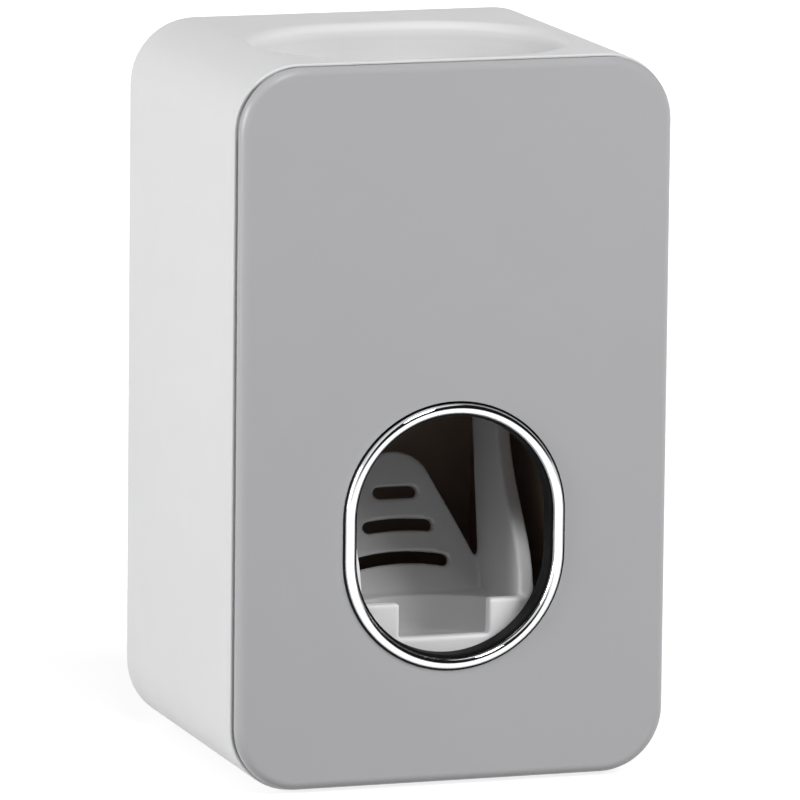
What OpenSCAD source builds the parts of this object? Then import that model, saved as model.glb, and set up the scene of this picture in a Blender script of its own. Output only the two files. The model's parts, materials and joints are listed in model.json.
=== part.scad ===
// Wall-mounted dispenser that pumps paste from an upturned tube onto a brush.
// Millimetres, +Z up, front towards -Y. The origin is the bottom centre of the whole assembly.
// Depths called "d" are measured back from the face of the front panel.

/* [Body] */
// Width of the body
body_w = 71.6; // [66:0.1:76]
// Height of the body
body_h = 115; // [106:0.5:124]
// Depth from the panel's face to the rear edge of the housing
body_d = 60; // [58:0.5:66]
// Corner radius of the front view
corner_r = 10.5; // [9:0.5:13]
// Wall thickness of the housing
wall = 2.2; // [1.8:0.1:2.6]
// Rounding of the housing's front edge, behind the panel
housing_edge_r = 0.3; // [0.2:0.1:0.5]
// Rounding of the housing's rear edge
rear_edge_r = 1.5; // [0.8:0.1:1.7]
// Thickness of the rear cover
cover_t = 2.4; // [2:0.1:2.8]

/* [Front panel] */
// Thickness of the front panel
panel_t = 2.8; // [2.4:0.1:3]
// Rounding of the panel's front edge
panel_edge_r = 1.5; // [1:0.1:1.6]
// How far the panel's edge stands in from the body's outline
panel_inset = 0.35; // [0.2:0.05:0.5]
// Inner edge of the shadow gap, measured in from the body's outline
gap_inset = 1.6; // [1.4:0.1:1.7]
// Width of the housing's thin rim outside the shadow gap
rim_t = 0.4; // [0.35:0.05:0.5]
// Depth of the shadow gap's groove in the housing
groove_d = 0.9; // [0.6:0.1:1.1]
// How far the locating ribs reach behind the panel
rib_reach = 2.5; // [2:0.1:3]
// Thickness of the locating ribs
rib_t = 1.6; // [1.2:0.1:2]
// Length of the locating ribs
rib_len = 40; // [30:1:44]
// Radius of the panel's screw posts
post_r = 3; // [2.6:0.1:3.4]

/* [Brush opening and ring] */
// Height of the nozzle's tip above the opening's centre
nozzle_rise = 16.2; // [15.6:0.1:17.5]
// Outer half-width of the ring
ring_r = 18.35; // [17.8:0.05:19]
// Length of the ring's straight sides
ring_straight = 6.3; // [5:0.1:7]
// Width of the ring's band, seen from the front
ring_band = 2.4; // [2:0.1:2.6]
// Width of the thin step around the ring's bead
ring_step_w = 0.5; // [0.3:0.05:0.7]
// Height of the thin step above the panel
ring_step_h = 0.35; // [0.2:0.05:0.5]
// How far the ring stands proud of the panel
ring_proud = 0.9; // [0.6:0.1:1.2]
// How far the ring's skirt reaches behind the panel's face
ring_skirt_d = 3.4; // [3:0.1:3.6]
// Thickness of the ring's skirt
ring_skirt_t = 1.1; // [0.9:0.1:1.4]

/* [Tube bowl] */
// Half-width of the bowl's mouth, front to back
bowl_r = 20.2; // [19.8:0.1:20.4]
// Extra width of the bowl's mouth, left to right
bowl_straight = 9.6; // [8:0.1:10]
// Depth of the bowl
bowl_depth = 11; // [10:0.5:12]
// Rounding of the bowl's edge
bowl_edge_r = 1.6; // [1:0.1:1.8]
// Radius of the bowl's flat floor
bowl_floor_r = 14.6; // [14.2:0.1:16]
// Thickness of the bowl's shell
bowl_t = 2; // [1.6:0.1:2.1]

/* [Tube seal] */
// Bore radius of the seal, which grips the neck of the toothpaste tube
neck_r = 6.5; // [6:0.1:7]
// Radius of the seal's waist in the bowl's floor
seal_r = 10; // [9.6:0.1:10.6]
// Thickness of each of the seal's two lips
seal_lip_t = 1.5; // [1.2:0.1:1.8]
// Width of each lip beyond the waist
seal_lip_w = 2.6; // [2.2:0.1:3]

/* [Inlet adapter] */
// Height of the adapter's head, which the tube's neck reaches into
adapter_head_h = 6.5; // [6:0.1:7]
// Height of the adapter's neck, which guides the plunger's stem
adapter_neck_h = 8.7; // [8:0.1:9.5]
// Wall around the stem in the adapter's neck
adapter_wall = 3.2; // [2.8:0.1:3.4]
// Thickness of the adapter's screw lugs
lug_t = 2.2; // [1.8:0.1:2.6]
// Radius of the screw lugs' round ends
lug_r = 3.2; // [2.9:0.1:3.5]
// Distance of the adapter's screws from the pump's axis
adapter_screw_x = 17; // [16.4:0.1:18]
// Length of the funnel between the neck's seat and the stem
funnel_h = 3; // [2.4:0.1:3.6]

/* [Pump] */
// Depth of the pump's axis behind the panel's face
pump_d = 25; // [24.8:0.1:25.6]
// Bore radius of the pump cylinder
bore_r = 8; // [7.6:0.1:8.2]
// Wall of the pump cylinder
cylinder_t = 1.6; // [1.3:0.1:1.7]
// Thickness of the pump cylinder's floor
cylinder_floor_t = 2; // [1.6:0.1:2.4]
// Thickness of the pump cylinder's flange
flange_t = 2; // [1.6:0.1:2.4]
// Radius of the flange's screw ears
ear_r = 3.4; // [3.1:0.1:3.7]
// Outer radius of the cylinder's spout
spout_r = 4; // [3.6:0.1:4.2]
// Bore radius of the cylinder's spout
spout_bore_r = 2.4; // [2:0.1:2.6]
// Height of the nozzle below the cylinder
nozzle_h = 5; // [4.6:0.1:5.6]
// Outer radius of the nozzle's collar
nozzle_r = 5.2; // [4.9:0.1:5.6]
// Height of the nozzle's slit tip
nozzle_tip_h = 1.8; // [1.4:0.1:2.2]
// Length of the slit across the nozzle's tip
slit_len = 3.6; // [2.8:0.1:4.2]
// Width of the slit
slit_w = 0.3; // [0.2:0.05:0.5]
// Wall of the nozzle's clamping ring
clamp_wall = 1.5; // [1.2:0.1:1.8]
// Outer radius of the plunger's hollow stem
stem_r = 5; // [4.7:0.1:5.2]
// Radius of the passage through the stem
passage_r = 3.2; // [2.8:0.1:3.4]
// Radial running clearance of the plunger
run_gap = 0.05; // [0.03:0.01:0.08]
// Height of the piston head
head_h = 4; // [3.6:0.1:4.6]
// Thickness of the piston head's floor
head_floor_t = 1.5; // [1.2:0.1:1.8]
// Radius of the valve holes in the head's floor
valve_hole_r = 0.8; // [0.6:0.05:1]
// Distance of the valve holes from the pump's axis
valve_ring_r = 2.1; // [2:0.05:2.3]
// Thickness of the valve's flap
flap_t = 0.8; // [0.6:0.05:1]
// Radius of the valve's stem
valve_stem_r = 0.7; // [0.5:0.05:0.8]
// Wire of the plunger's sealing ring
head_wire = 1.4; // [1.2:0.1:1.6]
// Wire of the stem's sealing ring
stem_wire = 1.2; // [1:0.1:1.4]
// Wire diameter of the return spring
spring_wire = 1.0; // [0.8:0.1:1.2]
// Turns of the return spring
spring_turns = 5; // [4:0.5:6]

/* [Push lever] */
// Depth of the lever's pivot behind the panel's face
pivot_d = 39; // [38:0.5:40]
// Radius of the pivot pins and the plunger's trunnions
pin_r = 2; // [1.8:0.1:2.2]
// Full swing of the lever in degrees
swing = 18; // [14:1:18]
// Half the gap between the lever's arms
arm_x = 13; // [12.8:0.1:13.6]
// Thickness of each arm
arm_t = 2.5; // [2:0.1:2.8]
// Radius of the boss around each pivot
boss_r = 4.6; // [4.2:0.1:4.8]
// Wall on each side of the fork's slot
fork_wall = 2.4; // [2:0.1:2.8]
// Depth of the tray's front face behind the panel's face
tray_d = 4.2; // [4:0.1:4.6]
// Depth of the tray from front to rear
tray_len = 24.4; // [23:0.1:25]
// Corner radius of the tray's front
tray_r = 4; // [3:0.1:5]
// Thickness of the tray's front wall
tray_wall = 2.4; // [2:0.1:2.8]
// Half-width of the brush notch in the tray's front wall
notch_x = 7.5; // [6.8:0.1:8]
// Radius of the tray's round recess
recess_r = 16; // [15:0.1:16.4]
// Depth of the recess's rear behind the panel's face
recess_rear_d = 23.2; // [22.6:0.1:23.6]
// Underside of the tray below the opening's centre
tray_drop = 21.8; // [21:0.1:22.4]
// Floor of the recess below the opening's centre
recess_drop = 20; // [19.4:0.1:20.4]
// Floor of the notch below the opening's centre
notch_drop = 16.9; // [16:0.1:17.6]
// Ledge behind the recess below the opening's centre
ledge_drop = 13.9; // [13:0.1:14.6]
// Top of the tray's front wall below the opening's centre
post_drop = 11.3; // [10.6:0.1:12]
// Depth of the slotted plate's foot behind the panel's face
plate_foot_d = 24.6; // [24.4:0.1:25.2]
// Thickness of the slotted back plate
plate_t = 1.7; // [1.5:0.1:2]
// Backward lean of the slotted plate in degrees
plate_lean = 17.5; // [14:0.5:19]
// Top of the slotted plate above the opening's centre
plate_rise = 9; // [8.4:0.1:9.6]
// Radius of the slotted plate's round top
plate_round_r = 6.5; // [6.1:0.1:6.9]
// Height of each slot
slot_h = 2; // [1.6:0.1:2.2]

/* [Inner frame] */
// Inner half-width of the frame
frame_x = 19.5; // [19:0.1:20]
// Wall of the inner frame
frame_t = 1.8; // [1.5:0.1:2.1]
// Free depth between the frame's back wall and the rear cover
frame_back_gap = 3.95; // [3.4:0.05:4.4]
// Height of the frame's sides above the lever's pivot
frame_head_h = 10.5; // [9:0.1:11]
// Thickness of the saddle that carries the pump cylinder
saddle_t = 2.5; // [2:0.1:3]
// Height of the lower frame screws above the frame's underside
frame_screw_rise = 19.5; // [17:0.5:22]
// Depth of the upper frame screws below the frame's top
frame_screw_drop = 7.1; // [6:0.1:8]

/* [Wall plate] */
// Width of the wall plate
plate_w = 50; // [46:0.5:52]
// Height of the wall plate
plate_h = 64; // [60:0.5:66]
// Thickness of the wall plate
wall_plate_t = 1.9; // [1.6:0.1:2.2]
// Corner radius of the wall plate
wall_plate_r = 6; // [4:0.5:8]
// How far the wall plate's middle lies below the body's middle
plate_drop = 1; // [0:0.5:3]
// Thickness of the adhesive pad
pad_t = 0.8; // [0.6:0.1:1]
// Inset of the adhesive pad from the wall plate's edge
pad_inset = 2; // [1:0.5:3]
// How far the pad stands proud of the housing's rear edge
pad_proud = 0.6; // [0.4:0.1:1]
// Lift needed to unhook the body from the wall plate
lift = 10; // [9.4:0.1:11]
// Distance of each hook from the middle
hook_x = 13; // [11:0.5:14]
// Height of the hooks above the wall plate's middle
hook_rise = 27.5; // [25:0.5:28]
// Width of each hook's neck
hook_w = 6; // [5:0.5:7]
// Height of each hook's neck
hook_h = 6; // [5:0.5:7]
// Width of each hook's head
hook_head_w = 12; // [11:0.5:13]
// Height of each hook's head
hook_head_h = 8; // [7.5:0.5:8.5]
// Thickness of each hook's head
hook_head_t = 1.7; // [1.4:0.1:2]

/* [Fasteners] */
// Radius of the screw threads
screw_r = 1.25; // [1.1:0.05:1.35]
// Radius of the screw heads
screw_head_r = 2.5; // [2.2:0.1:2.7]
// Thickness of the screw heads
screw_head_t = 1.6; // [1.4:0.1:1.8]
// Width of the cross recess in the screw heads
cross_w = 0.6; // [0.5:0.1:0.8]
// Depth of the cross recess
cross_t = 0.8; // [0.6:0.1:1]
// Radius of the screw bosses inside the housing
boss_screw_r = 3.6; // [3.2:0.1:3.8]
// How far the screw bosses sink into the housing's side walls
boss_sink = 0.6; // [0.4:0.1:1]
// Distance of the cover's screws from the body's top and base
cover_screw_edge = 9.5; // [9:0.5:11]
// Height of the lower panel screws above the base
panel_screw_low = 16; // [14:0.5:18]
// Depth of the upper panel screws below the body's top
panel_screw_drop = 23; // [21:0.5:25]
// Length of the screws that enter the housing's bosses
boss_screw_len = 10; // [8:0.5:11]
// Grip of the panel's screws in their posts
panel_screw_grip = 5.5; // [4.5:0.1:6]
// Length of the adapter's screws
lug_screw_len = 7; // [6:0.5:7.5]
// Depth of the panel's screw tabs behind the panel's face
tab_d = 9; // [8.4:0.1:9.6]
// Thickness of the screw tabs
tab_t = 2; // [1.6:0.1:2.4]
// Height of the screw tabs
tab_h = 8; // [7:0.5:9]
// Radius of the pivot pins' heads beyond the pins
pin_head_w = 1.3; // [1:0.1:1.6]
// Thickness of the pivot pins' heads
pin_head_t = 1.2; // [1:0.1:1.4]

/* [Hidden] */
$fn = 64;

// A hair of overlap between joined shapes, and how far cuts run past what they cut
eps = 0.01;
over = 1;

// Clearances
seat_gap = 0.15;
part_gap = 0.3;
pilot_gap = 0.05;
hole_gap = 0.35;
pin_gap = 0.05;
fork_gap = 0.25;
groove_gap = 0.1;
key_gap = 0.4;
valve_gap = 0.7;
yoke_gap = 0.4;
spring_gap = 0.55;
spring_seat_gap = 0.03;
head_pass_gap = 0.4;

// Depths
front_y = ring_proud - (ring_proud + body_d + pad_proud) / 2;
pump_y = front_y + pump_d;
panel_lip_t = panel_edge_r + 0.1;
wall_plate_d = body_d + pad_proud - pad_t - wall_plate_t;
cover_d = wall_plate_d - seat_gap - cover_t;
frame_back_d = cover_d - frame_back_gap - frame_t;
frame_front_d = panel_t + rib_reach + part_gap;

// Widths
inner_x = body_w / 2 - wall;
boss_x = inner_x - boss_screw_r + boss_sink;
arm_out_x = arm_x + arm_t;
arm_end_gap = 0.6;
arm_clear_x = arm_x - arm_end_gap;
yoke_side_gap = 1;
yoke_r = arm_x - yoke_side_gap;
lip_r = seal_r + seal_lip_w;
cylinder_r = bore_r + cylinder_t;
pump_screw_off = cylinder_r + spring_gap + spring_wire + screw_head_r + head_pass_gap;

// Heights from the body's top down to the brush opening
bowl_floor_z = body_h - bowl_depth;
bowl_under_z = bowl_floor_z - bowl_t;
seal_under_z = bowl_under_z - seal_lip_t;
adapter_flange_z = seal_under_z - adapter_head_h;
adapter_z = adapter_flange_z - adapter_neck_h;
yoke_skin = 0.2;
yoke_t = 2 * (pin_r + yoke_skin);
yoke_z = adapter_z - part_gap - yoke_t;
pin_z = yoke_z + yoke_t / 2;
fork_reach = pivot_d - pump_d;
stroke = 2 * fork_reach * tan(swing / 2);
pivot_z = pin_z - stroke / 2;
cylinder_top_z = yoke_z - stroke - yoke_gap;
head_cover_h = 2.4;
head_z = cylinder_top_z - head_cover_h - head_h;
chamber_z = head_z - stroke - valve_gap - 1.5 * flap_t;
cylinder_z = chamber_z - cylinder_floor_t;
flange_z = cylinder_z + saddle_t;
tip_z = cylinder_z - nozzle_h;
spout_z = tip_z + nozzle_tip_h;
opening_z = tip_z - nozzle_rise;
frame_z = wall + part_gap;
frame_top_z = pivot_z + frame_head_h;

// Screw heights
cover_screw_z = [cover_screw_edge, body_h - cover_screw_edge];
frame_screw_z = [frame_z + frame_screw_rise, frame_top_z - frame_screw_drop];
panel_screw_z = [panel_screw_low, body_h - panel_screw_drop];

// Turns a flat drawing in x and z into a slab between two depths
module slab(d0, d1) {
    translate([0, front_y + d1, 0]) rotate([90, 0, 0]) linear_extrude(d1 - d0) children();
}

// Turns a flat drawing in depth and z into a slab between two x values
module side_slab(x0, x1) {
    translate([x0, front_y, 0]) rotate([90, 0, 90]) linear_extrude(x1 - x0) children();
}

// Cylinder along the depth
module rod_d(x, z, r, d0, d1) {
    translate([x, front_y + d1, z]) rotate([90, 0, 0]) cylinder(r = r, h = d1 - d0);
}

// Cylinder along x
module rod_x(d, z, r, x0, x1) {
    translate([x0, front_y + d, z]) rotate([0, 90, 0]) cylinder(r = r, h = x1 - x0);
}

// Rounded rectangle in x and z
module plate_2d(w, z0, z1, r) {
    translate([-w / 2 + r, z0]) square([w - 2 * r, z1 - z0]);
    translate([-w / 2, z0 + r]) square([w, z1 - z0 - 2 * r]);
    for (x = [-w / 2 + r, w / 2 - r], z = [z0 + r, z1 - r]) translate([x, z]) circle(r);
}

// Upright round-ended outline centred on the brush opening
module opening_2d(r) {
    translate([-r, opening_z - ring_straight / 2]) square([2 * r, ring_straight]);
    for (s = [-1, 1]) translate([0, opening_z + s * ring_straight / 2]) circle(r);
}

// Half of a section from a centre line out to reach, rounded at its front and rear corners
module edge_section(reach, d0, d1, e_front, e_rear) {
    translate([0, d0]) square([reach - max(e_front, e_rear), d1 - d0]);
    translate([0, d0 + e_front]) square([reach, d1 - d0 - e_front - e_rear]);
    translate([0, d0]) square([reach - e_front, e_front]);
    intersection() {
        translate([reach - e_front, d0 + e_front]) circle(e_front);
        translate([reach - e_front, d0]) square(e_front);
    }
    if (e_rear > 0) {
        translate([0, d1 - e_rear]) square([reach - e_rear, e_rear]);
        intersection() {
            translate([reach - e_rear, d1 - e_rear]) circle(e_rear);
            translate([reach - e_rear, d1 - e_rear]) square(e_rear);
        }
    }
}

// Rounded block between two depths, with its front and rear edges rounded as well
module soft_block(w, h, r, d0, d1, e_front, e_rear) {
    for (x = [-w / 2 + r, w / 2 - r], z = [r, h - r]) {
        translate([x, front_y, z]) rotate([-90, 0, 0]) rotate_extrude()
            edge_section(r, d0, d1, e_front, e_rear);
    }
    for (s = [0, 1]) {
        mirror([s, 0, 0]) translate([0, front_y, r]) linear_extrude(h - 2 * r)
            edge_section(w / 2, d0, d1, e_front, e_rear);
        translate([0, 0, h / 2]) mirror([0, 0, s]) translate([-w / 2 + r, front_y, 0])
            rotate([0, 90, 0]) linear_extrude(w - 2 * r)
            mirror([1, 0]) edge_section(h / 2, d0, d1, e_front, e_rear);
    }
}

// Points of an arc in degrees
function arc(c, r, a0, a1, n) =
    [for (i = [0:n]) let(a = a0 + (a1 - a0) * i / n) [c[0] + r * cos(a), c[1] + r * sin(a)]];

// Points of a cubic curve
function curve(p0, p1, p2, p3, n) = [for (i = [0:n]) let(t = i / n, s = 1 - t)
    s * s * s * p0 + 3 * s * s * t * p1 + 3 * s * t * t * p2 + t * t * t * p3];

// Turns a half profile in radius and z into the bowl's round-ended form
module bowl_form(points) {
    for (s = [-1, 1]) translate([s * bowl_straight / 2, pump_y, 0]) rotate_extrude() polygon(points);
    translate([-bowl_straight / 2, pump_y, 0]) rotate([90, 0, 90]) linear_extrude(bowl_straight) {
        polygon(points);
        mirror([1, 0]) polygon(points);
    }
}

// Cross-head screw that stands up from the origin along +Z, head on top
module screw(length) {
    difference() {
        union() {
            translate([0, 0, -length]) cylinder(r = screw_r, h = length);
            cylinder(r = screw_head_r, h = screw_head_t);
        }
        for (a = [0, 90]) rotate([0, 0, a])
            translate([-screw_head_r * 0.6, -cross_w / 2, screw_head_t - cross_t])
            cube([screw_head_r * 1.2, cross_w, cross_t + over]);
    }
}

// Screw driven forwards from behind, its head seated at depth d
module screw_from_rear(x, z, d, length) {
    translate([x, front_y + d, z]) rotate([-90, 0, 0]) screw(length);
}

// The bowl's inside and outside: a rounded mouth, a steep side and a dished foot
bowl_steps = 12;
bowl_draft = 0.6;
bowl_foot = 3;
bowl_cut = concat(
    [[0, body_h + over], [bowl_r + bowl_edge_r, body_h + over]],
    arc([bowl_r + bowl_edge_r, body_h - bowl_edge_r], bowl_edge_r, 90, 180, bowl_steps),
    curve([bowl_r, body_h - bowl_edge_r], [bowl_r - bowl_draft, bowl_floor_z + bowl_depth * 0.35],
        [bowl_r - bowl_foot, bowl_floor_z], [bowl_floor_r, bowl_floor_z], bowl_steps),
    [[0, bowl_floor_z]]);
bowl_out_r = bowl_r + bowl_t;
bowl_shell = concat(
    [[0, body_h - wall / 2], [bowl_out_r, body_h - wall / 2]],
    curve([bowl_out_r, body_h - bowl_edge_r - wall / 2],
        [bowl_out_r - bowl_draft, bowl_floor_z + bowl_depth * 0.3],
        [bowl_out_r - bowl_foot, bowl_under_z], [bowl_floor_r, bowl_under_z], bowl_steps),
    [[0, bowl_under_z]]);

// Free depths of the screw holes in the housing's bosses, and the bosses around them
hole_len = boss_screw_len + part_gap;
boss_floor_t = 2.7;
boss_len = hole_len + boss_floor_t;
tab_edge = 2.1;
tab_w = 2 * post_r + tab_edge;
lug_hole_room = 0.9;
lug_hole_len = lug_screw_len - lug_t + part_gap + lug_hole_room;
frame_tab_t = 2;

module housing() color("whitesmoke") difference() {
    union() {
        difference() {
            soft_block(body_w, body_h, corner_r, panel_t, body_d, housing_edge_r, rear_edge_r);
            slab(panel_t - over, body_d + over)
                plate_2d(body_w - 2 * wall, wall, body_h - wall, corner_r - wall);
            difference() {
                slab(panel_t - over, panel_t + groove_d)
                    plate_2d(body_w - 2 * rim_t, rim_t, body_h - rim_t, corner_r - rim_t);
                slab(panel_t - 2 * over, panel_t + groove_d + over)
                    plate_2d(body_w - 2 * gap_inset, gap_inset, body_h - gap_inset, corner_r - gap_inset);
            }
        }
        bowl_form(bowl_shell);
        for (s = [-1, 1]) {
            for (z = cover_screw_z) rod_d(s * boss_x, z, boss_screw_r, cover_d - boss_len, cover_d);
            for (z = frame_screw_z) rod_d(s * boss_x, z, boss_screw_r,
                frame_back_d - frame_tab_t - boss_len + 1, frame_back_d - frame_tab_t);
            for (z = panel_screw_z) translate([0, front_y + tab_d, z - tab_h / 2])
                mirror([s > 0 ? 0 : 1, 0, 0])
                translate([inner_x - tab_w, 0, 0]) cube([tab_w + eps, tab_t, tab_h]);
            translate([s * adapter_screw_x, pump_y, adapter_flange_z + lug_t])
                cylinder(r = lug_r - 0.2, h = bowl_under_z + bowl_t / 2 - adapter_flange_z - lug_t);
        }
    }
    bowl_form(bowl_cut);
    translate([0, pump_y, bowl_under_z - over]) cylinder(r = seal_r + pilot_gap, h = bowl_t + 2 * over);
    for (s = [-1, 1]) {
        for (z = cover_screw_z)
            rod_d(s * boss_x, z, screw_r + pilot_gap, cover_d - hole_len, cover_d + over);
        for (z = frame_screw_z) rod_d(s * boss_x, z, screw_r + pilot_gap,
            frame_back_d - hole_len, frame_back_d);
        for (z = panel_screw_z)
            rod_d(s * boss_x, z, screw_r + hole_gap, tab_d - over, tab_d + tab_t + over);
        translate([s * adapter_screw_x, pump_y, adapter_flange_z + lug_t - over])
            cylinder(r = screw_r + pilot_gap, h = lug_hole_len + over);
    }
}

// Side ribs of the panel above its lower screws
rib_rise = 10;

module front_panel() color("darkgray") difference() {
    union() {
        translate([0, 0, panel_inset])
            soft_block(body_w - 2 * panel_inset, body_h - 2 * panel_inset, corner_r - panel_inset,
                0, panel_lip_t, panel_edge_r, 0);
        slab(panel_edge_r, panel_t)
            plate_2d(body_w - 2 * gap_inset, gap_inset, body_h - gap_inset, corner_r - gap_inset);
        for (s = [-1, 1], z = panel_screw_z) rod_d(s * boss_x, z, post_r, panel_t - eps, tab_d);
        slab(panel_t - eps, panel_t + rib_reach) {
            for (s = [-1, 1])
                translate([s * (inner_x - seat_gap - rib_t / 2) - rib_t / 2, panel_screw_low + rib_rise])
                square([rib_t, rib_len]);
            translate([-rib_len / 2, wall + seat_gap]) square([rib_len, rib_t]);
        }
    }
    slab(-over, panel_t + over) opening_2d(ring_r - ring_band + ring_skirt_t + pilot_gap);
    for (s = [-1, 1], z = panel_screw_z)
        rod_d(s * boss_x, z, screw_r + pilot_gap, tab_d - panel_screw_grip - over, tab_d + over);
}

// One half of the ring's section: radius outwards and depth, with a rounded bead and a small outer step
module ring_section(r_in) {
    bead = (ring_band - ring_step_w) / 2;
    step_root = 0.4;
    intersection() {
        union() {
            translate([r_in + bead, bead - ring_proud]) circle(bead);
            translate([r_in, bead - ring_proud]) square([2 * bead, bead]);
        }
        translate([r_in, -ring_proud]) square([2 * bead, ring_proud]);
    }
    translate([r_in + 2 * bead - step_root, -ring_step_h]) square([ring_step_w + step_root, ring_step_h]);
    translate([r_in, -ring_proud / 2]) square([ring_skirt_t, ring_skirt_d + ring_proud / 2]);
}

module opening_ring() color("silver") {
    r_in = ring_r - ring_band;
    for (s = [-1, 1]) translate([0, front_y, opening_z + s * ring_straight / 2]) {
        difference() {
            rotate([-90, 0, 0]) rotate_extrude() ring_section(r_in);
            translate([-2 * ring_r, -2 * ring_proud, s > 0 ? -2 * ring_r : 0])
                cube([4 * ring_r, 2 * (ring_proud + ring_skirt_d), 2 * ring_r]);
        }
    }
    for (s = [0, 1]) mirror([s, 0, 0]) translate([0, front_y, opening_z - ring_straight / 2])
        linear_extrude(ring_straight) ring_section(r_in);
}

// Frame's pivot bosses: radius around the pins, and their gap to the lever's bosses
frame_boss_r = pin_r + 2.2;
lever_boss_proud = 1.5;
frame_boss_x = arm_out_x + lever_boss_proud + part_gap;
gusset_x = 9;
gusset_d = 12;
gusset_h = 9;

module inner_frame() color([0.2, 0.16, 0.15]) difference() {
    frame_ear_r = inner_x - seat_gap - boss_x;
    union() {
        for (s = [0, 1]) mirror([s, 0, 0]) {
            side_slab(frame_x, frame_x + frame_t)
                translate([frame_front_d, frame_z])
                square([frame_back_d - frame_front_d, frame_top_z - frame_z]);
            for (z = frame_screw_z) slab(frame_back_d - frame_tab_t + eps, frame_back_d) {
                translate([frame_x, z - frame_ear_r]) square([boss_x - frame_x, 2 * frame_ear_r]);
                translate([boss_x, z]) circle(frame_ear_r);
            }
            rod_x(pivot_d, pivot_z, frame_boss_r, frame_boss_x, frame_x + eps);
            side_slab(gusset_x - frame_t / 2, gusset_x + frame_t / 2)
                polygon([[frame_back_d + eps, cylinder_z + eps],
                    [frame_back_d + eps, cylinder_z - gusset_h],
                    [frame_back_d - gusset_d, cylinder_z + eps]]);
        }
        slab(frame_back_d, frame_back_d + frame_t)
            plate_2d(2 * (frame_x + frame_t), frame_z, frame_top_z, frame_t);
        slab(frame_front_d, frame_back_d + eps) translate([-frame_x - eps, frame_z])
            square([2 * (frame_x + eps), frame_t]);
        translate([0, 0, cylinder_z]) linear_extrude(saddle_t) {
            translate([-arm_clear_x, pump_y]) square([2 * arm_clear_x, frame_back_d - pump_d + eps]);
            translate([0, pump_y]) circle(arm_clear_x);
            translate([0, pump_y - pump_screw_off]) circle(ear_r);
        }
    }
    translate([0, pump_y, cylinder_z - over])
        cylinder(r = cylinder_r + pilot_gap, h = saddle_t + 2 * over);
    for (s = [0, 1]) mirror([s, 0, 0])
        rod_x(pivot_d, pivot_z, pin_r + pin_gap, arm_x, frame_x + frame_t + over);
    for (s = [-1, 1]) {
        translate([0, pump_y + s * pump_screw_off, cylinder_z - over])
            cylinder(r = screw_r + pilot_gap, h = saddle_t + 2 * over);
        for (z = frame_screw_z) rod_d(s * boss_x, z, screw_r + hole_gap,
            frame_back_d - frame_tab_t - over, frame_back_d + over);
    }
}

// The wall plate's place, and its hooks in the rear cover's keyholes
wall_plate_z = body_h / 2 - plate_drop;
hook_z = wall_plate_z + hook_rise;

module rear_cover() color("gainsboro") difference() {
    edge = wall + seat_gap;
    slab(cover_d, cover_d + cover_t)
        plate_2d(body_w - 2 * edge, edge, body_h - edge, corner_r - edge);
    for (s = [-1, 1]) {
        slab(cover_d - over, cover_d + cover_t + over) {
            translate([s * hook_x - hook_w / 2 - seat_gap, hook_z - lift])
                square([hook_w + 2 * seat_gap, lift + hook_h / 2 + seat_gap]);
            translate([s * hook_x - hook_head_w / 2 - key_gap, hook_z - lift - hook_head_h / 2 - key_gap])
                square([hook_head_w + 2 * key_gap, hook_head_h + 2 * key_gap]);
        }
        for (z = cover_screw_z)
            rod_d(s * boss_x, z, screw_r + hole_gap, cover_d - over, cover_d + cover_t + over);
    }
}

module wall_plate() color("lightgray") {
    hook_d = cover_d - part_gap;
    slab(wall_plate_d, wall_plate_d + wall_plate_t)
        plate_2d(plate_w, wall_plate_z - plate_h / 2, wall_plate_z + plate_h / 2, wall_plate_r);
    for (s = [-1, 1]) {
        slab(hook_d - eps, wall_plate_d + eps) translate([s * hook_x - hook_w / 2, hook_z - hook_h / 2])
            square([hook_w, hook_h]);
        slab(hook_d - hook_head_t, hook_d)
            translate([s * hook_x - hook_head_w / 2, hook_z - hook_head_h / 2])
            square([hook_head_w, hook_head_h]);
    }
}

module adhesive_pad() color("white") {
    pad_z0 = wall_plate_z - plate_h / 2 + pad_inset;
    pad_z1 = wall_plate_z + plate_h / 2 - pad_inset;
    slab(wall_plate_d + wall_plate_t, wall_plate_d + wall_plate_t + pad_t)
        plate_2d(plate_w - 2 * pad_inset, pad_z0, pad_z1, wall_plate_r - pad_inset);
}

module tube_seal() color("snow") translate([0, pump_y, 0]) difference() {
    seal_h = bowl_t + 2 * seal_lip_t;
    union() {
        translate([0, 0, seal_under_z]) cylinder(r = lip_r, h = seal_lip_t);
        translate([0, 0, seal_under_z]) cylinder(r = seal_r, h = seal_h);
        translate([0, 0, bowl_floor_z]) cylinder(r = lip_r, h = seal_lip_t);
    }
    translate([0, 0, seal_under_z - over]) cylinder(r = neck_r, h = seal_h + 2 * over);
}

stem_hole_r = stem_r + run_gap;
stem_groove_z = adapter_z + adapter_neck_h * 0.46;
neck_ease = 0.5;

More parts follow.
